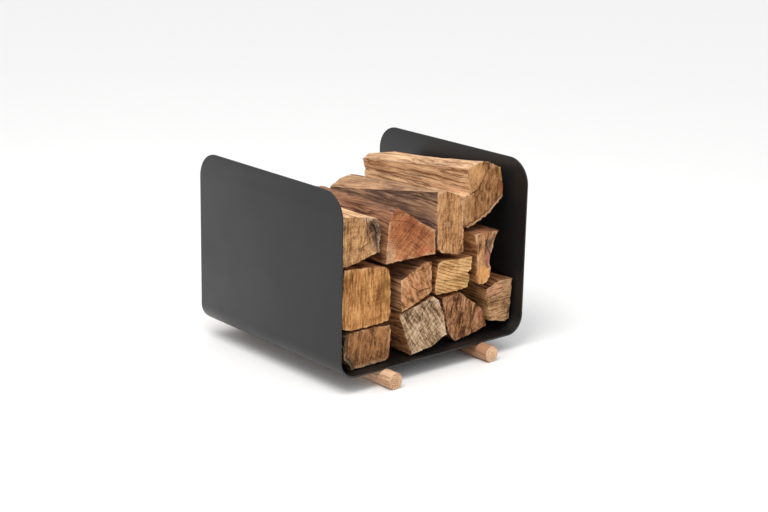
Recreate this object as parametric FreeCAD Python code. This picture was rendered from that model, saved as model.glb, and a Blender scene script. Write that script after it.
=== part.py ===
import FreeCAD, Part
import math
import os

# Firewood log rack: one steel sheet bent into an open-topped U, standing on two round
# wooden bars, with a stack of split logs lying front to back inside it.
#
# Millimetres. The origin is on the floor under the middle of the rack. +X is the rack's
# right as seen from the front, -Y is the front, +Z is up.

os.makedirs("parts", exist_ok=True)

# --- Rack sheet -----------------------------------------------------------------------
RACK_WIDTH = 400.0          # outside of one side panel to outside of the other
RACK_DEPTH = 380.0          # front rim to rear rim
PANEL_HEIGHT = 300.0        # underside of the floor to the top rim
SHEET_THICKNESS = 3.0
BEND_RADIUS = 32.0          # outside radius of the two long bends
CORNER_RADIUS = 44.0        # the four top corners of the side panels
RIM_ROUNDING = 0.5          # the cut rim is slightly broken before it is painted
BLANK_MARGIN = 10.0         # the bent strip is made this much too large, then trimmed

# --- Foot bars ------------------------------------------------------------------------
BAR_DIAMETER = 28.0
BAR_LENGTH = 430.0
BAR_OFFSET = 106.0          # middle of the rack to the middle of each bar
BAR_SEAT_DEPTH = 1.0        # shallow flat milled along the top, where the sheet lies
BAR_END_CHAMFER = 1.5

# --- Countersunk wood screws that hold the bars ---------------------------------------
SCREW_OFFSET = 150.0        # middle of the rack to each screw, along the bar
SCREW_HEAD_DIAMETER = 8.0
SCREW_SHANK_DIAMETER = 4.0
SCREW_LENGTH = 20.0
SCREW_POINT_LENGTH = 4.0
SCREW_RECESS_WIDTH = 1.1
SCREW_RECESS_SPAN = 4.6
SCREW_RECESS_DEPTH = 1.2
SHEET_HOLE_DIAMETER = 4.4

# --- Values that follow from those above ----------------------------------------------
HALF_WIDTH = RACK_WIDTH / 2
HALF_DEPTH = RACK_DEPTH / 2
BAR_RADIUS = BAR_DIAMETER / 2
SHEET_UNDERSIDE = BAR_DIAMETER - BAR_SEAT_DEPTH
SHEET_FLOOR = SHEET_UNDERSIDE + SHEET_THICKNESS
SHEET_TOP = SHEET_UNDERSIDE + PANEL_HEIGHT
STRIP_FRONT = -HALF_DEPTH - BLANK_MARGIN
STRIP_TOP = SHEET_TOP + BLANK_MARGIN
HEAD_RADIUS = SCREW_HEAD_DIAMETER / 2
SHANK_RADIUS = SCREW_SHANK_DIAMETER / 2
HEAD_HEIGHT = HEAD_RADIUS - SHANK_RADIUS          # a 90 degree countersink

# --- Split logs -----------------------------------------------------------------------
# Each outline is the log's front end: (x, height above the sheet's floor), clockwise from
# its upper left corner. "front" is the Y of that end and "length" runs back from it.
# "swing" and "lean" tilt the saw cuts a little: millimetres of Y for each millimetre
# across and up. A log that tapers or twists has a "rear" outline too, point for point.
LOGS = {
    "bottom_left_log": {
        "front": -172.0, "length": 300.0, "swing": 0.02, "lean": -0.03,
        "outline": [(-176, 65), (-116, 66), (-82, 62), (-79, 50), (-81, 8),
                    (-88, 1.2), (-162, 1.5), (-180, 26), (-178, 50)],
    },
    "bottom_grey_log": {
        "front": -177.0, "length": 285.0, "swing": -0.03, "lean": 0.04,
        "outline": [(-66, 76), (7, 95), (19, 86), (29, 62), (37, 24), (7, 9.5),
                    (-42, 1.2)],
    },
    "bottom_brown_log": {
        "front": -167.0, "length": 310.0, "swing": 0.03, "lean": 0.02,
        "outline": [(31, 86), (73, 88), (124, 51), (135, 35), (140, 14), (100, 6),
                    (64, 1.5), (49, 19)],
    },
    "bottom_right_log": {
        "front": -170.0, "length": 290.0, "swing": -0.02, "lean": -0.02,
        "outline": [(131, 81), (164, 93), (193, 91), (191, 52), (190, 18), (178, 14),
                    (142, 23)],
    },
    "middle_left_log": {
        "front": -172.0, "length": 295.0, "swing": -0.01, "lean": 0.03,
        "outline": [(-178, 169.5), (-142, 167), (-92, 161), (-85, 154), (-83, 124),
                    (-83, 82), (-87, 70), (-116, 67.5), (-167, 68), (-182, 73),
                    (-184, 107), (-181, 135)],
    },
    "middle_tan_log": {
        "front": -176.0, "length": 280.0, "swing": 0.04, "lean": 0.0,
        "outline": [(-67, 134), (-30, 149), (-9, 156), (2, 153), (5, 101),
                    (-44, 84.5), (-64, 79)],
    },
    "middle_straw_log": {
        "front": -174.0, "length": 305.0, "swing": 0.0, "lean": -0.03,
        "outline": [(15, 148), (29, 151), (92, 147), (92, 124), (84, 120), (89, 114),
                    (86, 95), (69, 92.5), (16, 93), (10.5, 99)],
    },
    "middle_forked_log": {
        "front": -174.0, "length": 270.0, "swing": -0.03, "lean": 0.03,
        "outline": [(97, 184), (153, 182), (144, 167), (140, 152), (134, 135),
                    (133, 128), (137, 118), (135, 106), (128, 96), (118, 92), (108, 96),
                    (102, 104), (101, 120), (104, 140), (104, 156)],
    },
    "top_left_log": {
        "front": -170.0, "length": 280.0, "swing": 0.02, "lean": 0.02,
        "outline": [(-186, 220), (-174, 254), (-144, 250), (-112, 244), (-103, 220),
                    (-105, 186), (-149, 177), (-175, 172.5), (-186, 175)],
    },
    "top_red_log": {
        "front": -176.0, "length": 290.0, "swing": 0.02, "lean": -0.02,
        "outline": [(-87, 251), (-75, 255), (8, 205), (11, 165), (-98, 165.5),
                    (-95, 229)],
        "rear": [(-80, 238), (8, 222), (10, 208), (11, 165), (-98, 165.5), (-97, 214)],
    },
    "top_tall_log": {
        "front": -172.0, "length": 280.0, "swing": -0.02, "lean": 0.02,
        "outline": [(13, 267), (34, 266), (63, 255), (71, 226), (74, 157), (62, 153.5),
                    (23, 163), (15, 172)],
        "rear": [(14, 221), (36, 234), (64, 238), (88, 231), (84, 160), (68, 154.5),
                 (23, 160), (15, 167)],
    },
    "top_right_log": {
        "front": -150.0, "length": 260.0, "swing": 0.03, "lean": 0.04,
        "outline": [(98, 290), (130, 298), (149, 295), (178, 282), (184, 249),
                    (183, 229), (158, 210), (127, 195), (100, 188), (92, 196),
                    (91, 243), (103, 246)],
        "rear": [(88, 262), (105, 269), (132, 267), (172, 263), (180, 240), (181, 225),
                 (158, 207), (127, 195), (103, 189), (93, 200), (92, 236), (94, 240)],
    },
}


def write(name, shape):
    """Write one sub-part as a STEP file, and print what is needed to check it."""
    shape.exportStep("parts/" + name + ".step")
    box = shape.optimalBoundingBox()
    print("%-18s valid %-5s solids %d  volume %9.0f  x %.1f..%.1f  y %.1f..%.1f  z %.1f..%.1f"
          % (name, shape.isValid(), len(shape.Solids), shape.Volume,
             box.XMin, box.XMax, box.YMin, box.YMax, box.ZMin, box.ZMax))


def vector(x, y, z):
    return FreeCAD.Vector(x, y, z)


def arc(centre_x, centre_z, radius, start_degrees, end_degrees):
    """An arc in the plane of the strip's front end, as an edge."""
    points = []
    for degrees in (start_degrees, (start_degrees + end_degrees) / 2, end_degrees):
        angle = math.radians(degrees)
        points.append(vector(centre_x + radius * math.cos(angle), STRIP_FRONT,
                             centre_z + radius * math.sin(angle)))
    return Part.Arc(*points).toShape()


def line(x0, z0, x1, z1):
    """A straight edge in the plane of the strip's front end."""
    return Part.makeLine(vector(x0, STRIP_FRONT, z0), vector(x1, STRIP_FRONT, z1))


def sheet_profile():
    """The U-shaped section of the sheet, seen from the front."""
    inner_radius = BEND_RADIUS - SHEET_THICKNESS
    bend_x = HALF_WIDTH - BEND_RADIUS
    bend_z = SHEET_UNDERSIDE + BEND_RADIUS
    inner_x = HALF_WIDTH - SHEET_THICKNESS
    edges = [
        line(-HALF_WIDTH, STRIP_TOP, -HALF_WIDTH, bend_z),
        arc(-bend_x, bend_z, BEND_RADIUS, 180, 270),
        line(-bend_x, SHEET_UNDERSIDE, bend_x, SHEET_UNDERSIDE),
        arc(bend_x, bend_z, BEND_RADIUS, 270, 360),
        line(HALF_WIDTH, bend_z, HALF_WIDTH, STRIP_TOP),
        line(HALF_WIDTH, STRIP_TOP, inner_x, STRIP_TOP),
        line(inner_x, STRIP_TOP, inner_x, bend_z),
        arc(bend_x, bend_z, inner_radius, 360, 270),
        line(bend_x, SHEET_FLOOR, -bend_x, SHEET_FLOOR),
        arc(-bend_x, bend_z, inner_radius, 270, 180),
        line(-inner_x, bend_z, -inner_x, STRIP_TOP),
        line(-inner_x, STRIP_TOP, -HALF_WIDTH, STRIP_TOP),
    ]
    return Part.Face(Part.Wire(edges))


def trimming_block():
    """The rack's side view as a block wider than the rack, its top corners rounded."""
    left = -HALF_WIDTH - BLANK_MARGIN
    bottom = SHEET_UNDERSIDE - BLANK_MARGIN
    corner_y = HALF_DEPTH - CORNER_RADIUS
    corner_z = SHEET_TOP - CORNER_RADIUS
    diagonal = CORNER_RADIUS * math.sqrt(0.5)

    def rounded(side):
        return Part.Arc(vector(left, side * HALF_DEPTH, corner_z),
                        vector(left, side * (corner_y + diagonal), corner_z + diagonal),
                        vector(left, side * corner_y, SHEET_TOP)).toShape()

    def straight(y0, z0, y1, z1):
        return Part.makeLine(vector(left, y0, z0), vector(left, y1, z1))

    edges = [
        straight(-HALF_DEPTH, bottom, -HALF_DEPTH, corner_z),
        rounded(-1),
        straight(-corner_y, SHEET_TOP, corner_y, SHEET_TOP),
        rounded(1),
        straight(HALF_DEPTH, corner_z, HALF_DEPTH, bottom),
        straight(HALF_DEPTH, bottom, -HALF_DEPTH, bottom),
    ]
    outline = Part.Face(Part.Wire(edges))
    return outline.extrude(vector(RACK_WIDTH + 2 * BLANK_MARGIN, 0, 0))


def screw_places():
    """The middle of each screw on the sheet's floor."""
    return [(side * BAR_OFFSET, end * SCREW_OFFSET) for side in (-1, 1) for end in (-1, 1)]


def is_rim_edge(edge):
    """Whether an edge runs along the cut rim rather than across the sheet's thickness."""
    box = edge.BoundBox
    runs_across = edge.Length < SHEET_THICKNESS + 0.01
    at_end = abs(abs(box.Center.y) - HALF_DEPTH) < 0.01 and box.YLength < 0.01
    at_top = box.ZMin > SHEET_TOP - CORNER_RADIUS - 0.01 and box.XLength < 0.01
    return not runs_across and (at_end or at_top)


def rack_sheet():
    """The bent steel sheet: two side panels, two bends, a floor, and four screw holes."""
    strip = sheet_profile().extrude(vector(0, RACK_DEPTH + 2 * BLANK_MARGIN, 0))
    sheet = strip.common(trimming_block()).removeSplitter()
    sheet = sheet.makeFillet(RIM_ROUNDING, [edge for edge in sheet.Edges if is_rim_edge(edge)])
    for x, y in screw_places():
        sheet = sheet.cut(Part.makeCylinder(SHEET_HOLE_DIAMETER / 2, SHEET_THICKNESS,
                                            vector(x, y, SHEET_UNDERSIDE)))
        sheet = sheet.cut(Part.makeCone(SHANK_RADIUS, HEAD_RADIUS, HEAD_HEIGHT,
                                        vector(x, y, SHEET_FLOOR - HEAD_HEIGHT)))
    return sheet


def foot_bar(side):
    """One round wooden bar under the sheet, with a milled seat and two pilot holes."""
    x = side * BAR_OFFSET
    bar = Part.makeCylinder(BAR_RADIUS, BAR_LENGTH, vector(x, -BAR_LENGTH / 2, BAR_RADIUS),
                            vector(0, 1, 0))
    ends = [edge for edge in bar.Edges
            if isinstance(edge.Curve, Part.Circle)]
    bar = bar.makeChamfer(BAR_END_CHAMFER, ends)
    bar = bar.cut(Part.makeBox(BAR_DIAMETER, RACK_DEPTH, BAR_SEAT_DEPTH,
                               vector(x - BAR_RADIUS, -HALF_DEPTH, SHEET_UNDERSIDE)))
    for screw_x, screw_y in screw_places():
        if screw_x == x:
            bar = bar.cut(screw_shank(screw_x, screw_y))
    return bar


def screw_shank(x, y):
    """The straight part and the point of one screw."""
    straight = SCREW_LENGTH - HEAD_HEIGHT - SCREW_POINT_LENGTH
    top = SHEET_FLOOR - HEAD_HEIGHT
    shank = Part.makeCylinder(SHANK_RADIUS, straight, vector(x, y, top - straight))
    point = Part.makeCone(0.3, SHANK_RADIUS, SCREW_POINT_LENGTH,
                          vector(x, y, top - straight - SCREW_POINT_LENGTH))
    return shank.fuse(point)


def screw(x, y):
    """One countersunk screw, its head flush with the sheet's floor."""
    head = Part.makeCone(SHANK_RADIUS, HEAD_RADIUS, HEAD_HEIGHT,
                         vector(x, y, SHEET_FLOOR - HEAD_HEIGHT))
    body = head.fuse(screw_shank(x, y))
    for width, span in ((SCREW_RECESS_WIDTH, SCREW_RECESS_SPAN),
                        (SCREW_RECESS_SPAN, SCREW_RECESS_WIDTH)):
        body = body.cut(Part.makeBox(width, span, SCREW_RECESS_DEPTH,
                                     vector(x - width / 2, y - span / 2,
                                            SHEET_FLOOR - SCREW_RECESS_DEPTH)))
    return body.removeSplitter()


def log_end(log, at_rear):
    """The closed outline of one sawn end of a log."""
    outline = log["outline"]
    start = log["front"]
    if at_rear:
        outline = log.get("rear", outline)
        start = start + log["length"]
    middle_x = sum(x for x, height in outline) / len(outline)
    middle_height = sum(height for x, height in outline) / len(outline)
    points = []
    for x, height in outline:
        y = start + log["swing"] * (x - middle_x) + log["lean"] * (height - middle_height)
        points.append(vector(x, y, SHEET_FLOOR + height))
    return Part.makePolygon(points + points[:1])


def split_log(log):
    """One split log, lying front to back."""
    return Part.makeLoft([log_end(log, False), log_end(log, True)], True, True)


write("rack_sheet", rack_sheet())
write("left_foot_bar", foot_bar(-1))
write("right_foot_bar", foot_bar(1))
write("foot_screws", Part.makeCompound([screw(x, y) for x, y in screw_places()]))
for name, log in LOGS.items():
    write(name, split_log(log))
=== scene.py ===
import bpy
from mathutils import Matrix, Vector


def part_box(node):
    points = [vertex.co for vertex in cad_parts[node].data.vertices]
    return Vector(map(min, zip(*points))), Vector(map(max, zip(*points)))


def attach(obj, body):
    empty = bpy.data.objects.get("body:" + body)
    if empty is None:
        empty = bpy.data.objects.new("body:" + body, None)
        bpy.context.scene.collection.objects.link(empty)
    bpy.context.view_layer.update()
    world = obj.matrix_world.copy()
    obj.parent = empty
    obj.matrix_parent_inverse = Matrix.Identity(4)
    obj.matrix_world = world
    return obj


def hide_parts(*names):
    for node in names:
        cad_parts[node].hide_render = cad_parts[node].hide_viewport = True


bl_info = {
    "name": "Firewood Log Rack",
    "version": (1, 0, 0),
    "blender": (4, 5, 0),
    "location": "View3D > Sidebar > Log Rack",
    "description": "Builds the looks of a bent steel log rack and its stack of split logs",
    "category": "Object",
}

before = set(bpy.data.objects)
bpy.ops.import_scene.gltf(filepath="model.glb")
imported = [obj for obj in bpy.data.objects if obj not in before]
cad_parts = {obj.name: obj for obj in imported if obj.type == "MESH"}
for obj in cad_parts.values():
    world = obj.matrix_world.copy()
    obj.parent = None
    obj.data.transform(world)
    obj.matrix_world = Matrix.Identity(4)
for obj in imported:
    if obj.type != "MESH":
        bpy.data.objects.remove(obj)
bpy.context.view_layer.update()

import math

import bmesh
import bpy
from bpy.props import FloatProperty, FloatVectorProperty, IntProperty, PointerProperty
from mathutils import Matrix, Vector, kdtree, noise

MERGE_DISTANCE = 1e-5

# Edges over these angles stay crisp, in degrees.
SHARP_SHEET, SHARP_BAR, SHARP_SCREW, SHARP_LOG = 25, 40, 30, 50


def paint(red, green, blue):
    """A colour given as 0 to 255 display values, as the linear colour that a shader takes."""
    values = []
    for value in (red, green, blue):
        value = value / 255
        values.append(value / 12.92 if value <= 0.04045 else ((value + 0.055) / 1.055) ** 2.4)
    return (*values, 1.0)


def smoothstep(low, high, value):
    share = min(1.0, max(0.0, (value - low) / (high - low)))
    return share * share * (3 - 2 * share)


# --- Settings ---------------------------------------------------------------------------


class RackSheetSettings(bpy.types.PropertyGroup):
    """Sizes and finish of the bent steel sheet."""

    thickness: FloatProperty(
        name="Thickness", description="Thickness of the steel sheet",
        default=0.003, min=0.001, unit="LENGTH")
    bend_radius: FloatProperty(
        name="Bend radius", description="Outside radius of the two long bends",
        default=0.032, min=0.005, unit="LENGTH")
    corner_radius: FloatProperty(
        name="Corner radius", description="Radius of the four top corners",
        default=0.044, min=0.001, unit="LENGTH")
    rim_rounding: FloatProperty(
        name="Rim rounding", description="How far the cut rim is broken",
        default=0.0006, min=0.0001, unit="LENGTH")
    bend_steps: IntProperty(
        name="Bend steps", description="Flats that make up each long bend",
        default=24, min=6)
    coat_colour: FloatVectorProperty(
        name="Coat colour", description="Colour of the powder coat",
        subtype="COLOR", size=4, min=0, max=1, default=paint(11, 11, 12))
    coat_roughness: FloatProperty(
        name="Coat roughness", description="Roughness of the powder coat",
        default=0.42, min=0, max=1, subtype="FACTOR")


class FootBarSettings(bpy.types.PropertyGroup):
    """Shape and colour of the two round foot bars."""

    end_rounding: FloatProperty(
        name="End rounding", description="Rounding of the bars' ends",
        default=0.0016, min=0.0002, unit="LENGTH")
    segments: IntProperty(
        name="Segments", description="Flats around each bar", default=72, min=12)
    left_colour: FloatVectorProperty(
        name="Left bar's colour", description="Main colour of the left bar's wood",
        subtype="COLOR", size=4, min=0, max=1, default=paint(208, 172, 140))
    # The right bar gets a darker colour than the left to paint the shade that the sheet casts
    # over it.
    right_colour_with_painted_shade: FloatVectorProperty(
        name="Right bar's colour with painted shade", description="Right bar's wood colour, darkened with painted shade from the sheet above",
        subtype="COLOR", size=4, min=0, max=1, default=paint(164, 122, 94))
    end_colour: FloatVectorProperty(
        name="End colour", description="Main colour of the bars' end grain",
        subtype="COLOR", size=4, min=0, max=1, default=paint(204, 166, 132))


class ScrewSettings(bpy.types.PropertyGroup):
    """Finish of the screws."""

    steel_colour: FloatVectorProperty(
        name="Steel colour", description="Colour of the plated screws",
        subtype="COLOR", size=4, min=0, max=1, default=paint(176, 176, 172))
    head_lift: FloatProperty(
        name="Head lift", description="How far the flat heads stand over the sheet",
        default=0.0002, min=0, unit="LENGTH")


class SplitLogSettings(bpy.types.PropertyGroup):
    """How finely the logs are modelled, and how deep their relief is."""

    skin_step: FloatProperty(
        name="Skin step", description="Spacing of the points around a log",
        default=0.0023, min=0.001, unit="LENGTH")
    slice_step: FloatProperty(
        name="Slice step", description="Spacing of the slices along a log",
        default=0.004, min=0.001, unit="LENGTH")
    rim_width: FloatProperty(
        name="Rim width", description="Width of the broken edge round a sawn end",
        default=0.0011, min=0.0003, unit="LENGTH")
    fibre_depth: FloatProperty(
        name="Fibre depth", description="Depth of the fine torn fibres",
        default=0.0010, min=0, unit="LENGTH")
    ridge_depth: FloatProperty(
        name="Ridge depth", description="Depth of the long split ridges",
        default=0.0024, min=0, unit="LENGTH")
    warp_depth: FloatProperty(
        name="Warp depth", description="How far a side wanders along the log",
        default=0.0026, min=0, unit="LENGTH")
    stand_proud: FloatProperty(
        name="Stand proud", description="How far the highest fibres rise over the outline",
        default=0.0009, min=0, unit="LENGTH")
    bark_depth: FloatProperty(
        name="Bark depth", description="Depth of the furrows in the bark",
        default=0.0032, min=0, unit="LENGTH")
    saw_depth: FloatProperty(
        name="Saw depth", description="Depth of the waves left by the saw",
        default=0.0007, min=0, unit="LENGTH")
    fray_depth: FloatProperty(
        name="Fray depth", description="How far the rim of a sawn end is torn back",
        default=0.0022, min=0, unit="LENGTH")


class StageSettings(bpy.types.PropertyGroup):
    """Camera, lights and floor."""

    target: FloatVectorProperty(
        name="Target", description="Point that the camera looks at",
        size=3, subtype="TRANSLATION", default=(0.0492, 0.0, 0.1443))
    azimuth: FloatProperty(
        name="Azimuth", description="Turn of the camera round the rack",
        default=math.radians(-40.81), subtype="ANGLE")
    elevation: FloatProperty(
        name="Elevation", description="Height of the camera as an angle",
        default=math.radians(16.07), subtype="ANGLE")
    roll: FloatProperty(
        name="Roll", description="Tilt of the camera about its own axis",
        default=math.radians(1.22), subtype="ANGLE")
    distance: FloatProperty(
        name="Distance", description="Camera to target",
        default=2.7576, min=0.5, unit="LENGTH")
    lens: FloatProperty(
        name="Lens", description="Focal length on a 36 mm wide sensor, in millimetres",
        default=75.13, min=10)
    sky_strength: FloatProperty(
        name="Sky strength", description="Brightness of the white surround",
        default=1.0, min=0)
    key_power: FloatProperty(
        name="Key power", description="Power of the large soft light, in watts",
        default=20.0, min=0)
    key_size: FloatProperty(
        name="Key size", description="Width of the large soft light",
        default=1.0, min=0.1, unit="LENGTH")
    key_place: FloatVectorProperty(
        name="Key place", description="Where the large soft light hangs",
        size=3, subtype="TRANSLATION", default=(-0.8, -0.4, 1.7))
    key_target: FloatVectorProperty(
        name="Key target", description="Point that the large soft light shines at",
        size=3, subtype="TRANSLATION", default=(0.0, 0.0, 0.2))
    floor_size: FloatProperty(
        name="Floor size", description="Middle of the floor to its edge",
        default=12.0, min=1, unit="LENGTH")
    floor_colour: FloatVectorProperty(
        name="Floor colour", description="Colour of the plain floor",
        subtype="COLOR", size=4, min=0, max=1, default=paint(243, 243, 243))


class LogRackSettings(bpy.types.PropertyGroup):
    """All the settings of the rack."""

    sheet: PointerProperty(type=RackSheetSettings, name="Sheet")
    bars: PointerProperty(type=FootBarSettings, name="Foot bars")
    screws: PointerProperty(type=ScrewSettings, name="Screws")
    logs: PointerProperty(type=SplitLogSettings, name="Split logs")
    stage: PointerProperty(type=StageSettings, name="Stage")


# --- Shader node helpers ----------------------------------------------------------------


def feed(tree, sockets, values):
    """Give sockets their values by name or number, or link them to other nodes' outputs.
    Underscores in a name stand for spaces."""
    for key, value in values.items():
        socket = sockets[key.replace("_", " ") if isinstance(key, str) else key]
        if isinstance(value, bpy.types.NodeSocket):
            tree.links.new(value, socket)
        else:
            socket.default_value = value


def add_node(tree, kind, inputs, **settings):
    """Add one node with its settings, and feed its inputs."""
    made = tree.nodes.new(kind)
    for key, value in settings.items():
        setattr(made, key, value)
    feed(tree, made.inputs, inputs)
    return made


def math_node(tree, operation, first, second=0.0, third=0.0):
    inputs = {0: first, 1: second, 2: third}
    return add_node(tree, "ShaderNodeMath", inputs, operation=operation).outputs[0]


def vector_node(tree, operation, first, second=(0, 0, 0)):
    made = add_node(tree, "ShaderNodeVectorMath", {0: first, 1: second}, operation=operation)
    return made.outputs["Value" if operation == "LENGTH" else "Vector"]


def combine(tree, x=0.0, y=0.0, z=0.0):
    return add_node(tree, "ShaderNodeCombineXYZ", {0: x, 1: y, 2: z}).outputs[0]


def separate(tree, vector):
    return add_node(tree, "ShaderNodeSeparateXYZ", {0: vector}).outputs


def mix_colour(tree, factor, first, second):
    inputs = {0: factor, 6: first, 7: second}
    return add_node(tree, "ShaderNodeMix", inputs, data_type="RGBA").outputs[2]


def map_range(tree, value, low, high, to_low=0.0, to_high=1.0):
    inputs = {"Value": value, "From Min": low, "From Max": high,
              "To Min": to_low, "To Max": to_high}
    return add_node(tree, "ShaderNodeMapRange", inputs,
                    interpolation_type="SMOOTHSTEP").outputs[0]


def stain(tree, colour, mask, amount, tone):
    """Lay a tone over a colour where a mask is, at most as strongly as the amount."""
    return mix_colour(tree, math_node(tree, "MULTIPLY", mask, amount), colour, tone)


def vein(tree, value, narrow, wide, most=1.0):
    """A line where a value passes 0.5, full up to narrow on both sides and gone at wide."""
    apart = math_node(tree, "ABSOLUTE", math_node(tree, "SUBTRACT", value, 0.5))
    return map_range(tree, apart, narrow, wide, most, 0.0)


def tone_ramp(tree, factor, tones, stops=(0.18, 0.40, 0.56, 0.80)):
    """Four tones, from the darkest to the lightest, spread over a factor."""
    made = add_node(tree, "ShaderNodeValToRGB", {0: factor})
    elements = made.color_ramp.elements
    for number, (stop, tone) in enumerate(zip(stops, tones)):
        element = elements[number] if number < 2 else elements.new(stop)
        element.position = stop
        element.color = tone
    return made.outputs["Color"]


def weigh(tree, start, *parts):
    """Add up factors that vary round 0.5, each times its own gain, round a start value."""
    total = start
    for value, gain in parts:
        total = math_node(tree, "MULTIPLY_ADD", math_node(tree, "SUBTRACT", value, 0.5), gain,
                          total)
    return total


def shade(colour, share):
    """A colour made darker, or lighter with a share over 1."""
    return tuple(value * share for value in colour[:3]) + (1.0,)


def noise_node(tree, vector, scale, detail=3.0, roughness=0.55, distortion=0.0):
    inputs = {"Vector": vector, "Scale": scale, "Detail": detail,
              "Roughness": roughness, "Distortion": distortion}
    return add_node(tree, "ShaderNodeTexNoise", inputs).outputs["Fac"]


def new_group(name, inputs, outputs):
    """A shader node group with named inputs (name, kind, default) and outputs (name, kind)."""
    tree = bpy.data.node_groups.new(name, "ShaderNodeTree")
    for socket_name, kind, default in inputs:
        socket = tree.interface.new_socket(socket_name, in_out="INPUT",
                                           socket_type="NodeSocket" + kind)
        if default is not None:
            socket.default_value = default
    for socket_name, kind in outputs:
        tree.interface.new_socket(socket_name, in_out="OUTPUT",
                                  socket_type="NodeSocket" + kind)
    return tree, tree.nodes.new("NodeGroupInput").outputs


def close_group(tree, results):
    """Connect a group's results, by output name."""
    outlet = tree.nodes.new("NodeGroupOutput")
    for name, value in results.items():
        tree.links.new(value, outlet.inputs[name])


def use_group(tree, group, **inputs):
    """Place a shared group in a material."""
    return add_node(tree, "ShaderNodeGroup", inputs,
                    node_tree=bpy.data.node_groups[group]).outputs


def new_material(name):
    """A material with a Principled shader. Returns the material, its tree and the shader."""
    material = bpy.data.materials.new(name)
    material.use_nodes = True
    tree = material.node_tree
    return material, tree, tree.nodes["Principled BSDF"]


def object_place(tree):
    return tree.nodes.new("ShaderNodeTexCoord").outputs["Object"]


def set_shader(tree, shader, **inputs):
    feed(tree, shader.inputs, inputs)


def bump(tree, height, strength, distance):
    inputs = {"Strength": strength, "Distance": distance, "Height": height}
    return add_node(tree, "ShaderNodeBump", inputs).outputs["Normal"]


# --- Shared node groups -----------------------------------------------------------------


def build_split_fibres_group():
    """Torn wood fibres that run along the log, with long dark cracks between them."""
    tree, given = new_group(
        "Split fibres",
        [("Vector", "Vector", None), ("Across", "Float", 300.0), ("Along", "Float", 10.0),
         ("Offset", "Float", 0.0)],
        [("Fibres", "Float"), ("Bands", "Float"), ("Cracks", "Float"), ("Height", "Float")])
    offset = given["Offset"]
    moved = vector_node(tree, "ADD", given["Vector"], combine(tree, offset, offset, offset))
    wander = noise_node(tree, moved, 9.0, 1.0)
    wander = math_node(tree, "MULTIPLY_ADD", wander, 0.018, -0.009)
    bent = vector_node(tree, "ADD", moved, combine(tree, wander, 0.0, wander))
    stretch = combine(tree, given["Across"], given["Along"], given["Across"])
    fine_place = vector_node(tree, "MULTIPLY", bent, stretch)
    broad_place = vector_node(tree, "MULTIPLY", fine_place, (0.22, 0.45, 0.22))
    crack_place = vector_node(tree, "MULTIPLY", fine_place, (0.30, 0.28, 0.30))
    fibres = noise_node(tree, fine_place, 1.0, 5.0, 0.76)
    bands = noise_node(tree, broad_place, 1.0, 4.0, 0.55, 0.4)
    cracks = vein(tree, noise_node(tree, crack_place, 1.0, 3.0, 0.6), 0.002, 0.022)
    gate = map_range(tree, noise_node(tree, broad_place, 0.6, 1.0), 0.48, 0.6)
    cracks = math_node(tree, "MULTIPLY", cracks, gate)
    height = math_node(tree, "MULTIPLY_ADD", bands, 0.7, fibres)
    height = math_node(tree, "MULTIPLY_ADD", cracks, -0.8, height)
    close_group(tree, {"Fibres": fibres, "Bands": bands, "Cracks": cracks, "Height": height})


def build_growth_rings_group():
    """Rings and rays round a pith, as a sawn end shows them."""
    tree, given = new_group(
        "Growth rings",
        [("Vector", "Vector", None), ("Pith", "Vector", (0.0, 0.0, 0.0)),
         ("Spacing", "Float", 0.003), ("Wobble", "Float", 0.004)],
        [("Rings", "Float"), ("Lines", "Float"), ("Rays", "Float")])
    flat = vector_node(tree, "MULTIPLY", vector_node(tree, "SUBTRACT", given["Vector"],
                                                     given["Pith"]), (1.0, 0.0, 1.0))
    radius = vector_node(tree, "LENGTH", flat)
    drift = noise_node(tree, given["Vector"], 28.0, 2.0)
    drift = math_node(tree, "SUBTRACT", drift, 0.5)
    radius = math_node(tree, "MULTIPLY_ADD", drift, given["Wobble"], radius)
    turns = math_node(tree, "DIVIDE", radius, given["Spacing"])
    lines = map_range(tree, math_node(tree, "PINGPONG", turns, 0.5), 0.30, 0.5)
    fade = noise_node(tree, given["Vector"], 90.0, 2.0)
    lines = math_node(tree, "MULTIPLY", lines, math_node(tree, "MULTIPLY_ADD", fade, 1.4, 0.1))
    parts = separate(tree, flat)
    angle = math_node(tree, "ARCTAN2", parts[2], parts[0])
    ring_place = combine(tree, turns, math_node(tree, "MULTIPLY", angle, 1.5))
    rings = noise_node(tree, ring_place, 1.0, 3.0, 0.6)
    ray_place = combine(tree, math_node(tree, "MULTIPLY", angle, 55.0),
                        math_node(tree, "MULTIPLY", radius, 60.0))
    rays = noise_node(tree, ray_place, 1.0, 4.0, 0.6)
    close_group(tree, {"Rings": rings, "Lines": lines, "Rays": rays})


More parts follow.
